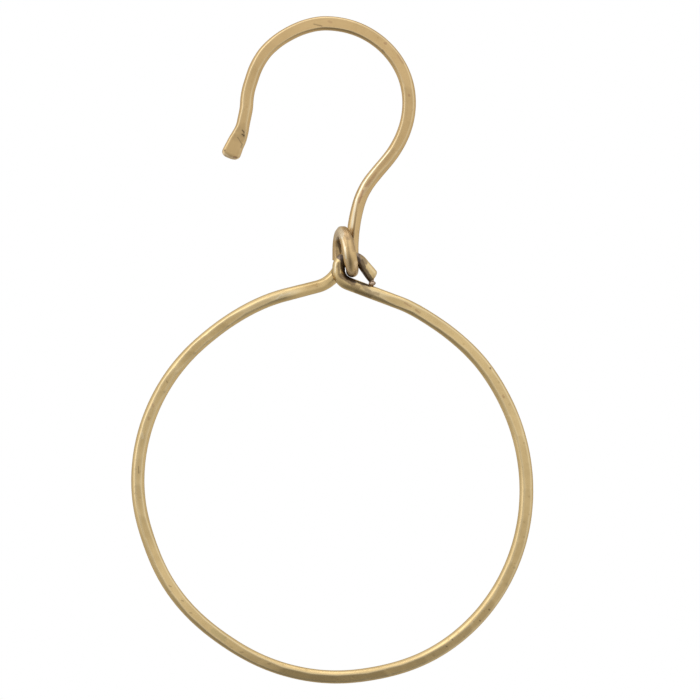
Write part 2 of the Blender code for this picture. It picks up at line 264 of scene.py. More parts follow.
def layCoil(path, sizes, drawn):  # one turn about X, back to front, a wire to the left
    centre = path.points[-1] - backward * sizes["halfDepth"]
    shiftStart = math.radians(sizes["shiftStart"])
    ridge = drawn[-1]
    for number in range(1, sizes["points"] + 1):
        angle = fullTurn * number / sizes["points"]
        sideways = smoothStep((angle - shiftStart) / (fullTurn - shiftStart))
        quarters = angle / quarterTurn
        swollen = smoothStep((quarters - sizes["swellStart"]) / sizes["swellRise"])
        swollen *= smoothStep((sizes["swellEnd"] - quarters) / sizes["swellFall"])
        inEye = smoothStep(sizes["eyeReach"] - abs(quarters - sizes["eyeMiddle"]))
        low = shallowBends(quarters, (sizes["low"],))
        place = Vector((
            centre.x - sizes["pitch"] * sideways - low,
            centre.y + sizes["halfDepth"] * math.cos(angle),
            centre.z - sizes["halfHeight"] * math.sin(angle) - low,
        ))
        path.add(place, drawn + section(swollen * sizes["swell"], inEye * sizes["sag"], ridge=-inEye * ridge))
    return Vector((centre.x, centre.y, centre.z - sizes["halfHeight"]))


# Ring: its sizes in metres and degrees, with places round it from its right through its top
ringSizes = {
    "radius": 0.0618,
    "step": 0.0004,  # from one point round it to the next
    "halfWidth": 0.00213,
    "halfDepth": 0.0020,
    "sideShift": 0.0062,
    "neckRise": 0.00665,
    "leftRise": 0.0009,
    "rightRise": 0.0003,
    "shoulderAngle": 28.0,
    "lobes": ((2, 0.0128, -68.0), (3, 0.0050, -166.0)),  # how many, their share of the radius, their turn
    "lobeFade": 22.0,
    "swell": 0.02,
    "swellTurn": -15.0,
    "sideSwell": 0.018,
    "sways": (  # a middle and a spread round the ring, and a height
        (197.0, 10.0, -0.00038), (235.0, 11.0, -0.00030), (-77.0, 12.0, -0.00038),
        (60.0, 8.0, -0.00035), (40.0, 8.0, 0.00015), (126.0, 13.0, -0.00020),
    ),
    "linkPitch": 0.0042,
    "eyeRoom": 0.00038,
    "eyeRoomTurn": 60.0,
    "eyeGrip": 0.00005,
    "eyeCornerShare": 0.75,
    "tailRadius": 0.0041,
    "tailAngle": 52.0,
    "tailLength": 0.0047,
    "tailCut": {"length": 0.0018, "narrowest": 0.30, "aside": -0.0020, "count": 14, "bluntness": 1.1},
    "leftBendRadius": 0.0108,
    "leftHeading": 60.0,
    "leftAside": 0.00035,
    "leftDrop": 0.0003,
    "setBack": 0.0050,
    "settleShare": 0.45,
    "sections": {  # as for the hook, and then how deep the ridges are
        "drawn": (0.0020, 0.0020, 0.0, 0.0, 0.00004),
        "bar": (0.00205, 0.0020, 0.0007, 0.0, 0.00003),
        "eyeFoot": (0.00210, 0.0020),
        "eye": (0.00206, 0.0020),
        "tail": (0.00185, 0.0020, 0.0010, -12.0, 0.00006),
        "tailEnd": (0.00205, 0.0019, 0.0012, -12.0, 0.00006),
    },
    "flats": (  # a place round the ring, half the hammered flat there, and degrees that it leans outward
        (-90, 0.00122, 15), (-75, 0.00122, 12), (-50, 0.00122, 21), (-25, 0.0013, 12), (0, 0.00128, 11),
        (25, 0.0013, 12), (62, 0.00132, 12), (75, 0.0012, -9), (105, 0.0006, -3), (125, 0.0012, -6),
        (155, 0.0011, -2), (180, 0.00108, -2), (205, 0.00128, -15), (230, 0.0013, -10),
        (255, 0.00124, 15), (270, 0.00122, 15),
    ),
}


class EyePlan:  # the places that lay out the ring's ends, from the strand that its eye hangs on
    def __init__(self, strand, sizes):
        room = sizes["eyeRoom"]
        self.bendRadius = sizes["linkPitch"] + room - sizes["eyeGrip"]
        self.bendCentre = strand + along(math.radians(sizes["eyeRoomTurn"])) * room
        self.leftX = self.bendCentre.x - self.bendRadius
        rise = strand.z + sizes["linkPitch"] - self.bendCentre.z
        self.cornerRadius = rise * sizes["eyeCornerShare"]
        self.sideRun = rise - self.cornerRadius
        self.barRun = strand.x - self.leftX - self.cornerRadius
        leftHeight = self.bendCentre.z - sizes["leftDrop"]
        self.leftEnd = Vector((self.leftX - sizes["leftAside"], strand.y, leftHeight))
        drop = sizes["radius"] + sizes["neckRise"]
        self.ringCentre = strand - rightward * sizes["sideShift"] - upward * drop


def tangentToRing(plan, bendCentre, bendRadius, shoulderRadius, side):
    offset = bendCentre - plan.ringCentre
    reach = shoulderRadius + bendRadius
    angle = math.atan2(offset.z, offset.x) + side * math.acos(reach / offset.length)
    return angle, math.sqrt(offset.length_squared - reach * reach)


def ringSection(angle, sizes):
    places, halves, leans = zip(*sizes["flats"])
    degrees = (math.degrees(angle) - places[0]) % 360.0 + places[0]
    flat = np.interp(degrees, places, halves)
    lean = np.interp(degrees, places, leans)
    swell = 1.0 + sizes["swell"] * math.cos(angle - math.radians(sizes["swellTurn"]))
    swell += sizes["sideSwell"] * math.cos(2.0 * angle)
    return section(sizes["halfWidth"] * swell, sizes["halfDepth"], flat, lean)


def layRing(plan, sizes):
    shapes = namedSections(sizes["sections"])
    drawn = shapes["drawn"]
    lobes = sizes["lobes"]
    leftHeading, fade, shoulder = fromDegrees(sizes["leftHeading"], sizes["lobeFade"], sizes["shoulderAngle"])
    leftCentre = plan.leftEnd + along(leftHeading + quarterTurn) * sizes["leftBendRadius"]
    leftShoulder = sizes["radius"] + sizes["leftRise"]
    rightShoulder = sizes["radius"] + sizes["rightRise"]
    leftAngle, leftRun = tangentToRing(plan, leftCentre, sizes["leftBendRadius"], leftShoulder, 1.0)
    rightAngle, rightRun = tangentToRing(plan, plan.bendCentre, plan.bendRadius, rightShoulder, -1.0)

    path = WirePath(plan.leftEnd, leftHeading, drawn)
    path.closeEnd(**cutEnd)
    path.reverse()
    path.heading = leftHeading + halfTurn
    path.bend(sizes["leftBendRadius"], leftAngle - quarterTurn - leftHeading, drawn)
    bendLength = lengthsOf(path.points)[-1]
    path.run(leftRun, ringSection(leftAngle, sizes))
    settled = bendLength * (1.0 - sizes["settleShare"])
    lengths = lengthsOf(path.points)
    for point, length in zip(path.points, lengths):
        point += backward * sizes["setBack"] * smoothStep((lengths[-1] - length) / (lengths[-1] - settled))

    endAngle = rightAngle + fullTurn
    count = math.ceil((endAngle - leftAngle) * sizes["radius"] / sizes["step"])
    for number in range(1, count + 1):
        angle = leftAngle + (endAngle - leftAngle) * number / count
        fromLeft = angle - leftAngle
        toRight = endAngle - angle
        stray = sum(height * math.cos(times * angle - math.radians(turn)) for times, height, turn in lobes)
        radius = sizes["radius"] * (1.0 + stray * smoothStep(fromLeft / fade) * smoothStep(toRight / fade))
        radius += shallowBends(math.degrees(angle), sizes["sways"], 360.0)
        radius += sizes["leftRise"] * smoothStep(1.0 - fromLeft / shoulder)
        radius += sizes["rightRise"] * smoothStep(1.0 - toRight / shoulder)
        path.add(plan.ringCentre + along(angle) * radius, ringSection(angle, sizes))
    levelIndex = len(path.points) - count // 2

    path.heading = endAngle + quarterTurn
    path.run(rightRun, shapes["eyeFoot"])
    path.bend(plan.bendRadius, -rightAngle / 2, shapes["eyeFoot"])
    path.bend(plan.bendRadius, -rightAngle / 2, shapes["eye"])
    path.run(plan.sideRun, shapes["eye"])
    path.bend(plan.cornerRadius, -quarterTurn, drawn)
    path.run(plan.barRun, shapes["bar"])
    path.bend(sizes["tailRadius"], -math.radians(sizes["tailAngle"]), shapes["tail"])
    path.run(sizes["tailLength"], shapes["tailEnd"])
    path.closeEnd(**sizes["tailCut"])
    return path, levelIndex


sheetGrid = {"columns": 10, "across": 190.0, "down": 260.0}  # how a tree's nodes are laid out
mixSockets = {"FLOAT": (2, 3, 0), "RGBA": (6, 7, 2)}  # a mix node's two inputs and its output, for each kind


class Sheet:  # a node tree, with short ways to add to it
    def __init__(self, tree):
        self.tree = tree
        self.count = 0

    def add(self, kind, **settings):
        node = self.tree.nodes.new(kind)
        for name, value in settings.items():
            setattr(node, name, value)
        row, column = divmod(self.count, sheetGrid["columns"])
        node.location = (column * sheetGrid["across"], -row * sheetGrid["down"])
        self.count += 1
        return node

    def feed(self, socket, value):
        if isinstance(value, bpy.types.NodeSocket):
            self.tree.links.new(value, socket)
        elif value is not None:
            socket.default_value = value

    def put(self, kind, values, **settings):  # a node with some of its inputs fed
        node = self.add(kind, **settings)
        for key, value in values.items():
            self.feed(node.inputs[key], value)
        return node.outputs

    def maths(self, operation, *values):
        return self.put("ShaderNodeMath", dict(enumerate(values)), operation=operation)[0]

    def vectors(self, operation, *values):
        outputs = self.put("ShaderNodeVectorMath", dict(enumerate(values)), operation=operation)
        return outputs["Value" if operation in ("LENGTH", "DISTANCE", "DOT_PRODUCT") else "Vector"]

    def stretched(self, vector, factor):  # a vector times a number
        return self.put("ShaderNodeVectorMath", {0: vector, "Scale": factor}, operation="SCALE")["Vector"]

    def ranged(self, value, low, high, start=0.0, end=1.0):  # a smooth step from start to end
        ends = {"Value": value, "From Min": low, "From Max": high, "To Min": start, "To Max": end}
        return self.put("ShaderNodeMapRange", ends, interpolation_type="SMOOTHSTEP")["Result"]

    def blended(self, mask, under, over, kind="RGBA"):
        first, second, result = mixSockets[kind]
        return self.put("ShaderNodeMix", {0: mask, first: under, second: over}, data_type=kind)[result]

    def noisy(self, place, scale, detail, roughness=0.5):
        values = {"Vector": place, "Scale": scale, "Detail": detail, "Roughness": roughness}
        return self.put("ShaderNodeTexNoise", values)


def openSockets(tree, direction, sockets):
    for name, kind, value in sockets:
        socket = tree.interface.new_socket(name, in_out=direction, socket_type="NodeSocket" + kind)
        if value is not None:
            socket.default_value = value


wireLimits = {
    "leastToward": 0.05,  # keeps a flat's reach finite in the directions along it
    "struckDepth": 0.00008,  # in metres below the drawn wire, where a flat counts as fully struck
    "rubReach": 2.2,  # times the edge's softness
    "fadingFlat": 0.0004,  # in metres: a flat with a narrower half than this fades out
    "clearance": 3.0,  # times the edge's softness
    "widestFlatShare": 0.98,
}


def makeWireTree():  # sweeps a path of points into a round wire and beats its front and back flat
    tree = bpy.data.node_groups.new("hammeredWire", "GeometryNodeTree")
    openSockets(tree, "INPUT", (
        ("Geometry", "Geometry", None),
        ("Sides", "Int", 80),
        ("Edge softness", "Float", 0.00016),
        ("Blow length", "Float", 0.008),
        ("Blow depth", "Float", 0.00005),
        ("Blow lean", "Float", 0.10),
        ("Ridges", "Float", 9.0),
        ("Ridge twist", "Float", 40.0),
        ("Dimple size", "Float", 0.0022),
        ("Dimple depth", "Float", 0.00002),
        ("Seed", "Float", 0.0),
        ("Finish", "Material", None),
    ))
    openSockets(tree, "OUTPUT", (("Geometry", "Geometry", None),))
    sheet = Sheet(tree)
    given = sheet.add("NodeGroupInput").outputs

    def stored(name, kind="FLOAT"):
        return sheet.put("GeometryNodeInputNamedAttribute", {"Name": name}, data_type=kind)["Attribute"]

    def store(geometry, name, kind, value):
        values = {"Geometry": geometry, "Name": name, "Value": value}
        made = sheet.put("GeometryNodeStoreNamedAttribute", values, data_type=kind, domain="POINT")
        return made["Geometry"]

    circle = sheet.put("GeometryNodeCurvePrimitiveCircle", {"Radius": 1.0, "Resolution": given["Sides"]})
    position = sheet.add("GeometryNodeInputPosition").outputs[0]
    profile = store(circle["Curve"], "around", "FLOAT_VECTOR", position)
    spine = sheet.put("GeometryNodeMeshToCurve", {"Mesh": given["Geometry"]})
    sweep = sheet.put("GeometryNodeCurveToMesh", {
        "Curve": spine["Curve"], "Profile Curve": profile, "Fill Caps": True,
    })

    turn = sheet.put("ShaderNodeSeparateXYZ", {0: stored("around", "FLOAT_VECTOR")})
    cosine, sine = turn["X"], turn["Y"]
    halfWidth, halfDepth, distance = stored("halfWidth"), stored("halfDepth"), stored("distance")
    centre, back, across = [stored(name, "FLOAT_VECTOR") for name in ("centre", "back", "across")]

    # the blows: each has its own lean, and sinks the flat a little at its middle
    blowPlace = sheet.maths("ADD", sheet.maths("DIVIDE", distance, given["Blow length"]), given["Seed"])
    blow = sheet.put("ShaderNodeTexVoronoi", {"W": blowPlace, "Scale": 1.0, "Smoothness": 0.22},
                     voronoi_dimensions="1D", feature="SMOOTH_F1")
    chance = sheet.put("ShaderNodeSeparateXYZ", {0: blow["Color"]})
    fromMiddle = sheet.maths("MULTIPLY", blow["Distance"], 2.0)
    risen = sheet.maths("MULTIPLY", sheet.maths("POWER", fromMiddle, 2.0), given["Blow depth"])
    flatPlace = sheet.maths("ADD", stored("flatPlace"), risen)

    def blowLean(luck):
        return sheet.maths("MULTIPLY", sheet.maths("SUBTRACT", luck, 0.5), given["Blow lean"])

    # the drawn wire, with faint ridges along it
    widthPart = sheet.maths("POWER", sheet.maths("DIVIDE", cosine, halfWidth), 2.0)
    depthPart = sheet.maths("POWER", sheet.maths("DIVIDE", sine, halfDepth), 2.0)
    body = sheet.maths("DIVIDE", 1.0, sheet.maths("SQRT", sheet.maths("ADD", widthPart, depthPart)))
    ridgeDrift = sheet.maths("MULTIPLY", distance, given["Ridge twist"])
    ridgeTurn = sheet.maths("MULTIPLY_ADD", sheet.maths("ARCTAN2", sine, cosine), given["Ridges"], ridgeDrift)
    body = sheet.maths("MULTIPLY_ADD", sheet.maths("COSINE", ridgeTurn), stored("ridge"), body)

    def planeReach(tilt, depthSign):  # how far the centre is from a flat, in the direction of each point
        depthward = sheet.maths("MULTIPLY", sheet.maths("COSINE", tilt), depthSign)
        sideward = sheet.maths("MULTIPLY", cosine, sheet.maths("SINE", tilt))
        toward = sheet.maths("MULTIPLY_ADD", sine, depthward, sideward)
        return sheet.maths("DIVIDE", flatPlace, sheet.maths("MAXIMUM", toward, wireLimits["leastToward"]))

    front = planeReach(sheet.maths("ADD", blowLean(chance["X"]), stored("lean")), -1.0)
    rear = planeReach(blowLean(chance["Y"]), 1.0)
    flats = sheet.maths("MINIMUM", front, rear)
    reach = sheet.maths("SMOOTH_MIN", body, flats, given["Edge softness"])

    def skinPlace(radius):  # where each point is, from its distance to the centreline
        aside = sheet.stretched(across, sheet.maths("MULTIPLY", cosine, radius))
        behind = sheet.stretched(back, sheet.maths("MULTIPLY", sine, radius))
        return sheet.vectors("ADD", sheet.vectors("ADD", aside, behind), centre)

    # dimples all over, as planishing leaves them
    dimplePlace = sheet.stretched(skinPlace(reach), sheet.maths("DIVIDE", 1.0, given["Dimple size"]))
    dimple = sheet.put("ShaderNodeTexVoronoi", {"Vector": dimplePlace, "Scale": 1.0, "Smoothness": 0.5},
                       voronoi_dimensions="3D", feature="SMOOTH_F1")
    pressed = sheet.maths("MULTIPLY", sheet.maths("SUBTRACT", dimple["Distance"], 0.5), given["Dimple depth"])
    place = skinPlace(sheet.maths("ADD", reach, pressed))
    shaped = sheet.put("GeometryNodeSetPosition", {"Geometry": sweep["Mesh"], "Position": place})["Geometry"]

    # what the finish reads: a place along and round the wire, its rubbed edges and its struck flats
    wireCoord = sheet.put("ShaderNodeCombineXYZ", {
        "X": sheet.maths("MULTIPLY", cosine, halfWidth),
        "Y": sheet.maths("MULTIPLY", sine, halfDepth),
        "Z": distance,
    })[0]
    above = sheet.maths("SUBTRACT", body, flats)
    struck = sheet.ranged(above, 0.0, wireLimits["struckDepth"])
    rubReach = sheet.maths("MULTIPLY", given["Edge softness"], wireLimits["rubReach"])
    rubbed = sheet.ranged(sheet.maths("ABSOLUTE", above), 0.0, rubReach, 1.0, 0.0)
    shaped = store(shaped, "wireCoord", "FLOAT_VECTOR", wireCoord)
    shaped = store(shaped, "rubbedEdge", "FLOAT", rubbed)
    shaped = store(shaped, "struck", "FLOAT", struck)
    smooth = sheet.put("GeometryNodeSetShadeSmooth", {"Geometry": shaped})["Geometry"]
    real = sheet.put("GeometryNodeRealizeInstances", {"Geometry": smooth})["Geometry"]
    painted = sheet.put("GeometryNodeSetMaterial", {"Geometry": real, "Material": given["Finish"]})
    sheet.feed(sheet.add("NodeGroupOutput").inputs["Geometry"], painted["Geometry"])
    return tree


def sweepWire(name, tree, path, levelIndex, finish, settings):
    points = path.points
    backs, acrosses = crossFrames(path, levelIndex)
    halfWidth, halfDepth, halfFlat, lean, ridge = np.array(path.sections).T
    fading = np.clip(1.0 - halfFlat / wireLimits["fadingFlat"], 0.0, 1.0)
    clear = wireLimits["clearance"] * settings["Edge softness"] * fading  # keeps flats off round stretches
    flatShare = np.clip(halfFlat / halfWidth, 0.0, wireLimits["widestFlatShare"])
    flatPlace = halfDepth * np.sqrt(1.0 - flatShare ** 2) + clear

    spine = bpy.data.meshes.new(name + "Spine")
    spine.from_pydata(points, [(index, index + 1) for index in range(len(points) - 1)], [])
    floats = {"halfWidth": halfWidth, "halfDepth": halfDepth, "lean": lean, "ridge": ridge,
              "flatPlace": flatPlace, "distance": lengthsOf(points)}
    for label, values in floats.items():
        spine.attributes.new(label, "FLOAT", "POINT").data.foreach_set("value", values.astype(np.float32))
    for label, values in (("centre", points), ("back", backs), ("across", acrosses)):
        flatValues = np.array([tuple(value) for value in values], np.float32).ravel()
        spine.attributes.new(label, "FLOAT_VECTOR", "POINT").data.foreach_set("vector", flatValues)
    holder = placed(name + "Spine", spine)

    modifier = holder.modifiers.new("wire", "NODES")
    modifier.node_group = tree
    identifiers = {item.name: item.identifier for item in tree.interface.items_tree if item.in_out == "INPUT"}
    for label, value in {**settings, "Finish": finish}.items():
        modifier[identifiers[label]] = value
    bpy.context.view_layer.update()
    depsgraph = bpy.context.evaluated_depsgraph_get()
    evaluated = holder.evaluated_get(depsgraph)
    mesh = bpy.data.meshes.new_from_object(evaluated, preserve_all_data_layers=True, depsgraph=depsgraph)
    bpy.data.objects.remove(holder)
    for label in list(floats) + ["centre", "back", "across", "around"]:
        if label in mesh.attributes:
            mesh.attributes.remove(mesh.attributes[label])
    return finishMesh(name, mesh)


def finishMesh(name, mesh):  # turns the faces outward and puts the mesh on an object at the origin
    shell = bmesh.new()
    shell.from_mesh(mesh)
    bmesh.ops.recalc_face_normals(shell, faces=shell.faces)
    shell.to_mesh(mesh)
    shell.free()
    mesh.name = name
    mesh.shade_smooth()
    piece = placed(name, mesh)
    print(name, "has", len(mesh.vertices), "points")
    return piece


def makeGroup(name, inputs, outputs):
    tree = bpy.data.node_groups.new(name, "ShaderNodeTree")
    openSockets(tree, "INPUT", inputs)
    openSockets(tree, "OUTPUT", outputs)
    sheet = Sheet(tree)
    return tree, sheet, sheet.add("NodeGroupInput").outputs, sheet.add("NodeGroupOutput").inputs


# Patina: scales are per metre, and each mask adds its share to the aged tone, the roughness and the height
patinaSizes = {
    "cloudEdges": (0.34, 0.68),  # where the noise turns from clean to aged
    "lineScale": (1800.0, 1800.0, 110.0),  # across the wire both ways, and along it
    "grainScale": 1500.0,
    "pitScale": 620.0,
    "pitEdges": (0.16, 0.34),  # from a pit's middle, in cells
    "pitlessShare": 0.86,  # of the cells that could hold one
    "polishedShare": 0.4,
    "aged": {"struck": 0.10, "grain": 0.08, "pit": 0.8, "rubbed": -0.35},
    "rough": {"cloud": 0.05, "struck": 0.06, "line": 0.08, "grain": 0.05, "pit": 0.16, "rubbed": -0.05},
    "height": {"grain": 0.03, "pit": -1.0},
}


# The paler colour on rubbed edges is partly polish from wear and partly a painted highlight where bright
# lines fall on the flats' borders.
def makePatina(sizes):  # brass that has been handled: cloudy tone, drawing lines, pits and rubbed edges
    tree, sheet, given, out = makeGroup("patina", (
        ("Vector", "Vector", None),
        ("Wire coord", "Vector", None),
        ("Rubbed", "Float", 0.0),
        ("Struck", "Float", 0.0),
        ("Clean", "Color", None),
        ("Aged", "Color", None),
        ("Polished highlight", "Color", None),
        ("Cloud size", "Float", 0.012),
        ("Cloud strength", "Float", 0.5),
        ("Line strength", "Float", 0.3),
        ("Pit strength", "Float", 0.5),
        ("Roughness", "Float", 0.36),
    ), (("Color", "Color", None), ("Roughness", "Float", None), ("Height", "Float", None)))

    cloudScale = sheet.maths("DIVIDE", 1.0, given["Cloud size"])
    cloud = sheet.noisy(given["Vector"], cloudScale, detail=5.0, roughness=0.62)
    cloudy = sheet.ranged(cloud["Fac"], *sizes["cloudEdges"])
    stretch = sheet.vectors("MULTIPLY", given["Wire coord"], sizes["lineScale"])
    lined = sheet.maths("SUBTRACT", sheet.noisy(stretch, 1.0, detail=3.0)["Fac"], 0.5)
    grain = sheet.noisy(given["Vector"], sizes["grainScale"], detail=4.0)
    grainy = sheet.maths("SUBTRACT", grain["Fac"], 0.5)
    pit = sheet.put("ShaderNodeTexVoronoi", {"Vector": given["Vector"], "Scale": sizes["pitScale"]},
                    voronoi_dimensions="3D")
    chance = sheet.put("ShaderNodeSeparateColor", {0: pit["Color"]})
    pitted = sheet.maths("MULTIPLY", sheet.ranged(pit["Distance"], *sizes["pitEdges"], 1.0, 0.0),
                         sheet.maths("GREATER_THAN", chance["Red"], sizes["pitlessShare"]))
    pitted = sheet.maths("MULTIPLY", pitted, given["Pit strength"])
    masks = {"cloud": cloudy, "line": lined, "grain": grainy, "pit": pitted,
             "struck": given["Struck"], "rubbed": given["Rubbed"]}

    def weighed(total, shares):  # adds each mask by its share
        for name, share in shares.items():
            total = sheet.maths("MULTIPLY_ADD", masks[name], share, total)
        return total

    lines = sheet.maths("MULTIPLY", lined, given["Line strength"])
    aged = weighed(sheet.maths("MULTIPLY_ADD", cloudy, given["Cloud strength"], lines), sizes["aged"])
    tone = sheet.blended(aged, given["Clean"], given["Aged"])
    # rubbed edges take the paler colour: wear, and a painted highlight along the flats' borders
    shine = sheet.maths("MULTIPLY", given["Rubbed"], sizes["polishedShare"])
    sheet.feed(out["Color"], sheet.blended(shine, tone, given["Polished highlight"]))
    sheet.feed(out["Roughness"], weighed(given["Roughness"], sizes["rough"]))
    sheet.feed(out["Height"], weighed(lines, sizes["height"]))
    return tree


markSizes = {"ragScale": 1100.0, "frontEnd": 0.0005}  # per metre, and how many metres back a mark reaches


def makeMark(sizes):  # a spot, or a line from one place to another, on the front of the wire
    tree, sheet, given, out = makeGroup("mark", (
        ("Vector", "Vector", None),
        ("From", "Vector", None),
        ("To", "Vector", None),
        ("Radius", "Float", 0.0004),
        ("Softness", "Float", 0.0004),
        ("Wander", "Float", 0.0005),
        ("Strength", "Float", 1.0),
    ), (("Mask", "Float", None),))
    ragged = sheet.noisy(given["Vector"], sizes["ragScale"], detail=3.0)["Color"]
    stray = sheet.stretched(sheet.vectors("SUBTRACT", ragged, (0.5, 0.5, 0.5)), given["Wander"])
    frontal = sheet.vectors("MULTIPLY", sheet.vectors("ADD", given["Vector"], stray), (1.0, 0.0, 1.0))
    reach = sheet.vectors("SUBTRACT", given["To"], given["From"])
    away = sheet.vectors("SUBTRACT", frontal, given["From"])
    squared = sheet.maths("MAXIMUM", sheet.vectors("DOT_PRODUCT", reach, reach), 1e-9)
    share = sheet.maths("DIVIDE", sheet.vectors("DOT_PRODUCT", away, reach), squared)
    share = sheet.maths("MINIMUM", sheet.maths("MAXIMUM", share, 0.0), 1.0)
    distance = sheet.vectors("LENGTH", sheet.vectors("SUBTRACT", away, sheet.stretched(reach, share)))
    edge = sheet.maths("ADD", given["Radius"], given["Softness"])
    mask = sheet.ranged(distance, given["Radius"], edge, 1.0, 0.0)
    depth = sheet.put("ShaderNodeSeparateXYZ", {0: given["Vector"]})["Y"]
    mask = sheet.maths("MULTIPLY", mask, sheet.maths("LESS_THAN", depth, sizes["frontEnd"]))
    sheet.feed(out["Mask"], sheet.maths("MULTIPLY", mask, given["Strength"]))
    return tree


patina = makePatina(patinaSizes)
mark = makeMark(markSizes)
print("finish groups made")


metalSizes = {"edgeTint": (0.48, 0.40, 0.30, 1.0), "coatRoughness": 0.22, "bump": 0.00004}
perMetre = 1000.0  # millimetres


class Finish:  # a metal finish put together from the groups above
    def __init__(self, name, coat):
        self.material = bpy.data.materials.new(name)
        self.material.use_nodes = True
        self.sheet = Sheet(self.material.node_tree)
        self.shader = self.material.node_tree.nodes["Principled BSDF"]
        self.shader.inputs["Metallic"].default_value = 1.0
        self.shader.inputs["Specular Tint"].default_value = metalSizes["edgeTint"]  # of a glancing reflection
        self.shader.inputs["Coat Weight"].default_value = coat
        self.shader.inputs["Coat Roughness"].default_value = metalSizes["coatRoughness"]
        self.place = self.sheet.add("ShaderNodeTexCoord").outputs["Object"]

    def attribute(self, name, output):
        return self.sheet.add("ShaderNodeAttribute", attribute_name=name).outputs[output]

    def base(self, tone):
        made = self.sheet.put("ShaderNodeGroup", {
            "Vector": self.place,
            "Wire coord": self.attribute("wireCoord", "Vector"),
            "Rubbed": self.attribute("rubbedEdge", "Fac"),
            "Struck": self.attribute("struck", "Fac"),
            **tone,
        }, node_tree=patina)
        self.colour, self.rough, self.height = made["Color"], made["Roughness"], made["Height"]

    def marks(self, rows, colour, roughness, sink=0.0, wander=0.5, soft=0.3):
        mask = None
        for x, z, toX, toZ, radius, strength in rows:
            made = self.sheet.put("ShaderNodeGroup", {
                "Vector": self.place,
                "From": (x / perMetre, 0.0, z / perMetre),
                "To": (toX / perMetre, 0.0, toZ / perMetre),
                "Radius": radius / perMetre,
                "Softness": soft / perMetre,
                "Wander": wander / perMetre,
                "Strength": strength,
            }, node_tree=mark)["Mask"]
            mask = made if mask is None else self.sheet.maths("MAXIMUM", mask, made)
        self.colour = self.sheet.blended(mask, self.colour, colour)
        self.rough = self.sheet.blended(mask, self.rough, roughness, "FLOAT")
        if sink:
            self.height = self.sheet.maths("MULTIPLY_ADD", mask, -sink, self.height)

    def close(self):
        bump = self.sheet.put("ShaderNodeBump", {"Distance": metalSizes["bump"], "Height": self.height})
        self.sheet.feed(self.shader.inputs["Normal"], bump["Normal"])
        self.sheet.feed(self.shader.inputs["Base Color"], self.colour)
        self.sheet.feed(self.shader.inputs["Roughness"], self.rough)
        return self.material


def colourOf(red, green, blue):
    return (red, green, blue, 1.0)


darkBrown = colourOf(0.075, 0.045, 0.024)
redBrown = colourOf(0.30, 0.16, 0.085)
# painted highlight colour, for the ring's pale streaks
paintedHighlightBrass = colourOf(0.62, 0.53, 0.36)
# partly polish, partly painted highlight: the paler colour on the flats' rubbed borders
polishedAndHighlight = colourOf(0.62, 0.52, 0.33)
# scorch from brazing and painted shade, for the dark inside of the eye
sootAndShade = colourOf(0.050, 0.032, 0.020)
# a scorch brown, also used on the hook as painted shade in the coil's hollow and along the wire's dark
# streaks
heatBrownAndShade = colourOf(0.16, 0.105, 0.055)
heatGrey = colourOf(0.125, 0.09, 0.075)
umber = colourOf(0.105, 0.07, 0.036)
# painted shade: a tan brown that dims places on the hook where reflections fall too bright
paintedShadeTan = colourOf(0.26, 0.165, 0.085)

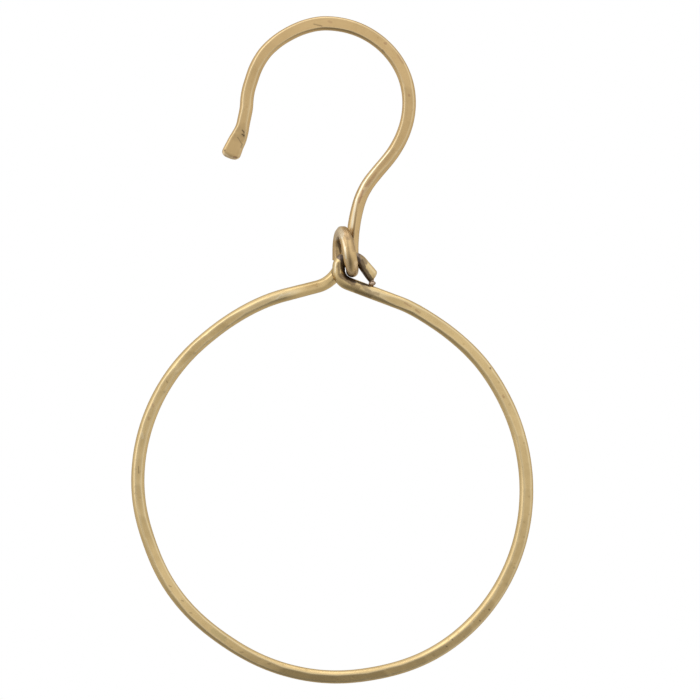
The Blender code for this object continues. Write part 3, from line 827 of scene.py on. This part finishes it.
# Marks, in mm: x and z of each stroke's two ends on the front, half its width, and its strength
hookMarks = {
    "dark": ((-4.35, 2.05, -1.8, 1.4, 0.08, 0.45), (17.6, -6.2, 18.2, -7.0, 0.1, 0.4),
             (-27.3, -31.9, -26.7, -32.6, 0.06, 0.75), (-27.4, -33.2, -26.8, -33.6, 0.08, 0.85),
             (-26.8, -32.6, -26.9, -33.8, 0.15, 0.35), (-28.8, -34.2, -27.4, -36.4, 0.03, 0.45),
             (-27.4, -36.4, -27.7, -37.4, 0.12, 0.35), (-33.0, -38.3, -32.95, -38.4, 0.13, 0.7)),
    # painted highlight: a pale line along the paddle tip's lower rim
    "rimHighlight": ((-33.2, -39.4, -31.4, -40.7, 0.15, 0.8), (-31.4, -40.7, -28.0, -41.3, 0.15, 0.8)),
    "red": ((0.3, 3.0, 1.2, 2.6, 0.2, 0.35), (18.4, -4.0, 18.6, -4.1, 0.25, 0.5),
            (22.4, -7.8, 24.2, -10.4, 0.1, 0.35), (26.0, -20.6, 26.2, -20.9, 0.15, 0.5),
            (15.4, -45.6, 10.6, -53.6, 0.20, 0.30), (13.6, -48.2, 12.2, -49.8, 0.35, 0.45),
            (11.3, -51.2, 10.1, -55.0, 0.15, 0.75), (-30.0, -40.5, -29.3, -40.6, 0.15, 0.8)),
    # partly the coil top's greyish tone, partly painted light: a paler patch at the coil's upper left
    "grey": ((2.9, -63.2, 3.9, -65.4, 1.0, 0.6), (2.4, -65.4, 2.8, -66.5, 0.4, 0.5)),
    # painted shade: the hollow inside the coil's back-left leg, darkened
    "shaded": ((3.2, -66.6, 4.1, -70.8, 0.25, 0.95), (3.0, -70.8, 3.6, -73.0, 0.4, 0.5)),
    # painted shade, in tan: over the coil's top, its back-left leg, its right side and the neck
    "paintedShadeTan": ((5.6, -64.0, 6.6, -66.4, 0.6, 0.60), (2.0, -65.8, 2.0, -72.2, 0.6, 0.40),
               (7.7, -64.6, 8.4, -70.4, 0.3, 0.45), (21.2, -38.3, 17.1, -43.4, 0.30, 0.25),
               (17.1, -43.4, 12.8, -49.5, 0.30, 0.30)),
    # painted shade: dark streaks down the neck, shank and coil's front leg, where the round wire turns from
    # the light
    "paintedShadeLine": ((10.2, -53.4, 9.2, -57.0, 0.10, 0.50), (9.2, -57.0, 8.6, -62.0, 0.12, 0.55),
               (8.6, -62.0, 8.2, -66.0, 0.12, 0.60), (6.9, -72.0, 7.2, -76.0, 0.20, 0.20),
               (6.2, -66.5, 6.9, -72.0, 0.10, 0.30), (5.5, -65.8, 5.8, -68.8, 0.10, 0.35)),
    # painted highlight: pale, glossy streaks down the neck, shank and coil's front leg
    "light": ((19.8, -38.4, 15.2, -44.0, 0.08, 0.45), (15.2, -44.0, 11.4, -48.9, 0.10, 0.55),
              (11.4, -48.9, 9.3, -53.9, 0.10, 0.65), (9.3, -53.9, 8.2, -59.6, 0.12, 0.75),
              (8.2, -59.6, 7.5, -64.6, 0.14, 0.75), (4.6, -66.4, 5.5, -69.6, 0.08, 0.40),
              (5.5, -69.6, 5.9, -73.0, 0.12, 0.60)),
    # painted light: a paler, rougher underside to the coil, which would otherwise mirror dark surroundings
    "pale": ((6.2, -74.0, 6.8, -77.2, 0.35, 0.55), (7.2, -78.0, 9.2, -77.9, 0.40, 0.65),
             (9.3, -74.6, 9.6, -77.2, 0.45, 0.80)),
}
ringMarks = {
    "dark": ((52.0, -108.0, 52.1, -108.2, 0.15, 0.6), (51.6, -185.2, 51.7, -185.3, 0.12, 0.6),
             (48.6, -188.7, 48.7, -188.8, 0.10, 0.6), (39.8, -194.8, 39.9, -194.9, 0.12, 0.5),
             (37.9, -197.0, 38.1, -197.1, 0.10, 0.5), (-60.4, -139.6, -60.3, -141.6, 0.05, 0.5),
             (-51.4, -112.3, -51.2, -112.7, 0.10, 0.4), (-46.6, -182.3, -46.1, -182.5, 0.05, 0.4),
             (-50.6, -177.6, -50.0, -177.9, 0.05, 0.4), (-44.0, -186.2, -43.4, -186.3, 0.05, 0.4),
             (-28.0, -198.8, -27.0, -198.9, 0.05, 0.35), (-19.1, -202.6, -18.2, -202.6, 0.05, 0.35)),
    "red": ((-55.9, -119.7, -55.7, -120.2, 0.25, 0.35), (-57.2, -123.8, -57.1, -124.4, 0.20, 0.35),
            (24.6, -87.2, 26.6, -88.4, 0.10, 0.45), (28.2, -89.4, 29.4, -90.4, 0.15, 0.45),
            (56.0, -116.8, 56.2, -117.3, 0.15, 0.4)),
    "green": ((-36.6, -192.0, -33.0, -194.6, 0.5, 0.30),),
    # scorch and painted shade: the eye's dark inner face beside the coil and the dark under the tail
    "sootAndShade": ((5.0, -72.6, 5.1, -76.0, 0.75, 0.95), (5.1, -76.0, 6.4, -79.0, 0.60, 0.95),
             (7.2, -80.0, 13.6, -81.9, 0.02, 0.9), (9.6, -73.0, 10.6, -76.2, 0.30, 0.93),
             (10.4, -76.2, 13.5, -80.8, 0.35, 0.93)),
    # painted highlights: pale streaks on the ring's left side, near its top left and on the eye's left wire
    "light": ((-16.3, -86.0, -14.6, -84.6, 0.10, 0.7), (-14.4, -84.9, -12.0, -84.1, 0.10, 0.6),
              (-59.2, -129.0, -59.0, -130.4, 0.20, 0.4), (2.6, -74.4, 2.3, -77.4, 0.12, 0.55)),
    # scorch stains round the eye, with painted shade on the eye wire's inner flank and on the wire's lower
    # edge below it
    "brown": ((4.4, -78.6, 8.2, -81.0, 0.60, 0.85), (3.5, -74.4, 3.6, -78.2, 0.12, 0.7),
              (8.0, -81.4, 10.0, -82.2, 0.35, 0.5), (11.0, -81.4, 13.4, -83.6, 0.35, 0.55),
              (10.4, -71.9, 12.3, -74.4, 0.30, 0.75), (9.0, -83.6, 13.6, -85.2, 0.3, 0.45),
              (13.6, -84.0, 16.2, -84.4, 0.25, 0.4)),
    "umber": ((6.2, -78.8, 8.4, -80.0, 0.50, 0.9), (10.8, -74.0, 11.5, -75.9, 0.55, 0.9),
              (11.5, -75.9, 13.0, -78.4, 0.50, 0.85), (13.0, -78.4, 14.2, -80.2, 0.55, 0.9)),
    "grey": ((3.0, -71.4, 4.2, -72.8, 0.65, 0.9), (9.6, -72.0, 9.9, -73.5, 0.45, 0.85)),
}


# Tones: the values of the patina on each metal
hookTone = {
    "Clean": colourOf(0.535, 0.372, 0.173), "Aged": colourOf(0.415, 0.275, 0.115), "Polished highlight": polishedAndHighlight,
    "Cloud size": 0.011, "Cloud strength": 0.38, "Line strength": 0.30, "Pit strength": 0.40,
    "Roughness": 0.26,
}
ringTone = {
    "Clean": colourOf(0.55, 0.402, 0.188), "Aged": colourOf(0.42, 0.296, 0.127), "Polished highlight": polishedAndHighlight,
    "Cloud size": 0.010, "Cloud strength": 0.42, "Line strength": 0.26, "Pit strength": 0.50,
    "Roughness": 0.27,
}
fillerTone = {
    "Cloud size": 0.0016, "Cloud strength": 0.9, "Line strength": 0.0, "Pit strength": 0.8, "Roughness": 0.46,
}
brassCoat = 0.3

# Layers: the marks in the order that they go on, their colour and roughness, and how they lie, in mm
hookLayers = (
    # painted shade: tan over the coil and neck
    ("paintedShadeTan", paintedShadeTan, 0.34, {"wander": 0.8, "soft": 0.6}),
    # painted shade in the coil's hollow
    ("shaded", heatBrownAndShade, 0.4, {"soft": 0.4}),
    # greyish tone with painted light
    ("grey", colourOf(0.60, 0.52, 0.38), 0.4, {"wander": 1.0, "soft": 0.8}),
    # painted light under the coil
    ("pale", colourOf(0.74, 0.56, 0.33), 0.62, {"wander": 0.6, "soft": 0.6}),
    # painted highlight on the paddle's rim
    ("rimHighlight", colourOf(0.84, 0.66, 0.40), 0.5, {"wander": 0.2, "soft": 0.5}),
    # painted shade streaks
    ("paintedShadeLine", heatBrownAndShade, 0.4, {"wander": 0.2, "soft": 0.35}),
    # painted highlight
    ("light", colourOf(0.78, 0.70, 0.52), 0.24, {"wander": 0.15, "soft": 0.35}),
    ("dark", darkBrown, 0.5, {"sink": 0.8, "wander": 0.3, "soft": 0.25}),
    ("red", redBrown, 0.42, {}),
)
ringLayers = (
    # scorch stains with painted shade
    ("brown", heatBrownAndShade, 0.45, {"wander": 1.2, "soft": 0.5}),
    ("umber", umber, 0.45, {"wander": 0.8, "soft": 0.45}),
    ("grey", heatGrey, 0.45, {"wander": 1.0, "soft": 0.5}),
    # scorch and painted shade in the eye
    ("sootAndShade", sootAndShade, 0.5, {"wander": 0.8, "soft": 0.5}),
    ("dark", darkBrown, 0.5, {"sink": 0.8, "wander": 0.3, "soft": 0.25}),
    ("red", redBrown, 0.42, {}),
    ("green", colourOf(0.30, 0.27, 0.13), 0.42, {"soft": 0.6}),
    # painted highlight
    ("light", paintedHighlightBrass, 0.28, {"sink": -0.8, "wander": 0.3}),
)
# the dark in the eye, scorch with painted shade, reaches over the filler behind it
brazeLayers = (("sootAndShade", sootAndShade, 0.5, {"soft": 0.6}),)
brazeMarks = {"sootAndShade": ringMarks["sootAndShade"][:3]}  # the soot in the eye covers the filler behind it too


def makeMetal(name, tone, coat=0.0, marked=None, layers=()):
    finish = Finish(name, coat)
    finish.base(tone)
    for label, colour, roughness, manner in layers:
        finish.marks(marked[label], colour, roughness, **manner)
    return finish.close()


def makeFiller(name, clean, aged, marked=None, layers=()):
    tone = {**fillerTone, "Clean": clean, "Aged": aged, "Polished highlight": clean}
    return makeMetal(name, tone, marked=marked, layers=layers)


finishes = {
    "hook": makeMetal("hookBrass", hookTone, brassCoat, hookMarks, hookLayers),
    "ring": makeMetal("ringBrass", ringTone, brassCoat, ringMarks, ringLayers),
    "bead": makeFiller("beadFiller", colourOf(0.50, 0.37, 0.26), colourOf(0.15, 0.09, 0.055)),
    "braze": makeFiller("brazeFiller", colourOf(0.38, 0.27, 0.14), colourOf(0.15, 0.10, 0.05),
                        brazeMarks, brazeLayers),
}
print("finishes made:", len(finishes))


# Hammer: how finely each wire is swept and how it was struck, in metres and radians
hookHammer = {
    "Sides": 80, "Edge softness": 0.00011, "Blow length": 0.0095, "Blow depth": 0.00004, "Blow lean": 0.10,
    "Ridges": 7.0, "Ridge twist": 40.0, "Dimple size": 0.0024, "Dimple depth": 0.000018, "Seed": 3.0,
}
ringHammer = {
    "Sides": 64, "Edge softness": 0.00013, "Blow length": 0.0080, "Blow depth": 0.00006, "Blow lean": 0.14,
    "Ridges": 7.0, "Ridge twist": 30.0, "Dimple size": 0.0022, "Dimple depth": 0.000025, "Seed": 11.0,
}

wireTree = makeWireTree()
hookPath, hookLevel, strand = layHook(hookSizes, coilSizes)
hookWire = sweepWire("hookWire", wireTree, hookPath, hookLevel, finishes["hook"], hookHammer)
eyePlan = EyePlan(strand, ringSizes)
ringPath, ringLevel = layRing(eyePlan, ringSizes)
ringWire = sweepWire("ringWire", wireTree, ringPath, ringLevel, finishes["ring"], ringHammer)
print("wires swept")


fillerSizes = {"grid": 0.16, "threshold": 0.25, "waveScale": 1.7, "waveHeight": 0.16}  # in mm


def makeLump(name, node, lumps, finish):  # filler that ran and froze: balls under one skin, laid out in mm
    ball = bpy.data.metaballs.new(name)
    ball.resolution = fillerSizes["grid"]
    ball.render_resolution = fillerSizes["grid"]
    ball.threshold = fillerSizes["threshold"]
    holder = placed(name + "Ball", ball)
    for x, y, z, radius in lumps:
        element = ball.elements.new()
        element.co = (x, y, z)
        element.radius = radius
    bpy.context.view_layer.update()
    depsgraph = bpy.context.evaluated_depsgraph_get()
    mesh = bpy.data.meshes.new_from_object(holder.evaluated_get(depsgraph))
    bpy.data.objects.remove(holder)
    for corner in mesh.vertices:
        wave = corner.normal * noise.noise(corner.co * fillerSizes["waveScale"])
        corner.co += wave * fillerSizes["waveHeight"]
    fitToBox(mesh, *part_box(node))
    mesh.materials.clear()
    mesh.materials.append(finish)
    return finishMesh(name, mesh)


def fitToBox(mesh, low, high):
    places = np.empty(len(mesh.vertices) * 3)
    mesh.vertices.foreach_get("co", places)
    places = places.reshape(-1, 3)
    least, most = places.min(axis=0), places.max(axis=0)
    places = np.array(low) + (places - least) / (most - least) * (np.array(high) - np.array(low))
    mesh.vertices.foreach_set("co", places.ravel())


# Balls: x, y, z and radius in mm, about the middle of each lump
beadLumps = ((-0.15, 0.0, 1.1, 1.0), (-0.1, 0.0, 0.6, 0.9), (-0.05, 0.0, 0.1, 1.0), (-0.1, 0.0, -0.7, 1.5),
             (0.45, -0.2, -0.6, 1.1), (-0.5, 0.0, -0.9, 1.1))
brazeLumps = ((-0.5, 0.0, 1.1, 2.8), (-0.8, 0.0, -0.3, 2.9), (1.0, 0.0, 0.6, 2.7), (1.1, 0.0, -0.9, 2.7),
              (-0.2, 0.0, -1.5, 2.6), (1.1, 0.0, 1.6, 2.2), (1.5, 0.0, -1.9, 2.0))
eyeBead = makeLump("eyeBead", "eye_closing_bead", beadLumps, finishes["bead"])
endBraze = makeLump("endBraze", "ring_end_braze", brazeLumps, finishes["braze"])
print("filler placed")

for piece, body, node, slot in (
    (hookWire, "hook", "hook_wire", "hook_brass"),
    (ringWire, "ring", "ring_wire", "ring_brass"),
    (eyeBead, "ring", "eye_closing_bead", "bead_filler"),
    (endBraze, "ring", "ring_end_braze", "braze_filler"),
):
    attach(piece, body)
    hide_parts(node)


# Studio: in metres and degrees, with strengths in watts for the lamps and as shares of white for the rest
studio = {
    "viewCentre": (0.00717, -0.003, -0.10227),
    "viewWidth": 0.224,
    "viewEnd": 20.0,
    "cameraDistance": 2.4,
    "sensorWidth": 36.0,  # in mm
    "floorHeight": -0.235,
    "floorSize": 0.8,
    "floorTone": 0.86,
    "floorRoughness": 0.8,
    "floorGlow": 0.85,
    "worldDiffuse": 0.45,
    "lamps": (  # name, place, width, height, strength
        ("keyLamp", (-0.9, -0.9, 1.0), 0.9, 0.9, 2.5),
        ("topLamp", (0.1, -0.1, 1.2), 1.0, 0.6, 2.0),
    ),
    "tentRadius": 2.2,
    "tentFineness": 4,
    "tentLevel": 1.03,
    "panelTint": (0.93, 1.0, 1.20),
    "clothTint": (-1.0, -1.0, -1.0),
    "panelRows": (  # turn round the view from its right, angle off the camera, spread, strength
        (112.0, 75.0, 72.0, 0.55),
        (48.0, 60.0, 58.0, 0.30),
        (142.0, 62.0, 30.0, 0.55),
        (174.0, 62.0, 30.0, 1.0),
        (8.0, 40.0, 48.0, 0.12),
    ),
    "clothRows": (
        (252.0, 80.0, 76.0, 0.72),
        (272.0, 34.0, 46.0, 0.50),
        (315.0, 60.0, 45.0, 0.15),
    ),
}


def makeCamera():
    camera = bpy.data.cameras.new("camera")
    camera.sensor_width = studio["sensorWidth"]
    camera.lens = camera.sensor_width * studio["cameraDistance"] / studio["viewWidth"]
    camera.clip_end = studio["viewEnd"]
    holder = placed("camera", camera)
    holder.location = Vector(studio["viewCentre"]) - backward * studio["cameraDistance"]
    holder.rotation_euler = (quarterTurn, 0.0, 0.0)
    scene.camera = holder


def makeLamp(name, place, width, height, strength):  # aimed at the middle of the view
    lamp = bpy.data.lights.new(name, "AREA")
    lamp.shape = "RECTANGLE"
    lamp.size = width
    lamp.size_y = height
    lamp.energy = strength
    holder = placed(name, lamp)
    holder.location = place
    aim = Vector(studio["viewCentre"]) - holder.location
    holder.rotation_euler = aim.to_track_quat("-Z", "Y").to_euler()


def makeWorld():  # white for the camera and in reflections, dimmer as a light
    world = bpy.data.worlds.new("studioWorld")
    world.use_nodes = True
    sheet = Sheet(world.node_tree)
    background = world.node_tree.nodes["Background"]
    background.inputs["Color"].default_value = colourOf(1.0, 1.0, 1.0)
    rays = sheet.add("ShaderNodeLightPath").outputs
    seen = sheet.maths("MAXIMUM", rays["Is Camera Ray"], rays["Is Glossy Ray"])
    seen = sheet.maths("MAXIMUM", seen, rays["Is Transmission Ray"])
    dim = studio["worldDiffuse"]
    sheet.feed(background.inputs["Strength"], sheet.maths("MULTIPLY_ADD", seen, 1.0 - dim, dim))
    scene.world = world


def stageMesh(name, shell, material):
    mesh = bpy.data.meshes.new(name)
    shell.to_mesh(mesh)
    shell.free()
    mesh.materials.append(material)
    return placed(name, mesh)


def makeFloor():
    shell = bmesh.new()
    bmesh.ops.create_grid(shell, x_segments=1, y_segments=1, size=studio["floorSize"] / 2)
    bmesh.ops.translate(shell, vec=(0.0, 0.0, studio["floorHeight"]), verts=shell.verts)
    floor = stageMesh("floor", shell, makeFloorFinish())
    floor.visible_glossy = False  # the tent's dark cloths stand for it in the metal


def makeFloorFinish():  # pale, and nearly white to the camera, so that a shadow stays faint
    material = bpy.data.materials.new("floorFinish")
    material.use_nodes = True
    sheet = Sheet(material.node_tree)
    shader = material.node_tree.nodes["Principled BSDF"]
    shader.inputs["Base Color"].default_value = colourOf(*[studio["floorTone"]] * 3)
    shader.inputs["Roughness"].default_value = studio["floorRoughness"]
    glow = sheet.add("ShaderNodeEmission").outputs[0]
    rays = sheet.add("ShaderNodeLightPath").outputs
    seen = sheet.maths("MAXIMUM", rays["Is Camera Ray"], rays["Is Glossy Ray"])
    seen = sheet.maths("MULTIPLY", seen, studio["floorGlow"])
    surface = sheet.put("ShaderNodeMixShader", {0: seen, 1: shader.outputs[0], 2: glow})[0]
    sheet.feed(material.node_tree.nodes["Material Output"].inputs["Surface"], surface)
    return material


def makeTent():  # soft panels and dark cloths round the object, which only the metal's reflections see
    material = bpy.data.materials.new("tentFinish")
    material.use_nodes = True
    sheet = Sheet(material.node_tree)
    place = sheet.add("ShaderNodeNewGeometry").outputs["Position"]
    ray = sheet.vectors("NORMALIZE", sheet.vectors("SUBTRACT", place, studio["viewCentre"]))
    light = (studio["tentLevel"],) * 3
    for kind in ("panel", "cloth"):
        tint = studio[kind + "Tint"]
        for turn, tilt, spread, strength in studio[kind + "Rows"]:
            turn, tilt, spread = fromDegrees(turn, tilt, spread)
            middle = along(turn) * math.sin(tilt) - backward * math.cos(tilt)
            apart = sheet.maths("ARCCOSINE", sheet.vectors("DOT_PRODUCT", ray, middle))
            amount = sheet.ranged(apart, 0.0, spread, strength, 0.0)
            light = sheet.vectors("ADD", sheet.stretched(tint, amount), light)
    glow = sheet.put("ShaderNodeEmission", {"Color": light})[0]
    sheet.feed(material.node_tree.nodes["Material Output"].inputs["Surface"], glow)

    shell = bmesh.new()
    bmesh.ops.create_icosphere(shell, subdivisions=studio["tentFineness"], radius=studio["tentRadius"])
    bmesh.ops.translate(shell, vec=studio["viewCentre"], verts=shell.verts)
    tent = stageMesh("tent", shell, material)
    tent.visible_camera = False
    tent.visible_diffuse = False
    tent.visible_shadow = False
    tent.visible_transmission = False


makeCamera()
makeWorld()
makeTent()
for row in studio["lamps"]:
    makeLamp(*row)
makeFloor()
print("studio ready")

scene.view_settings.view_transform = "Standard"
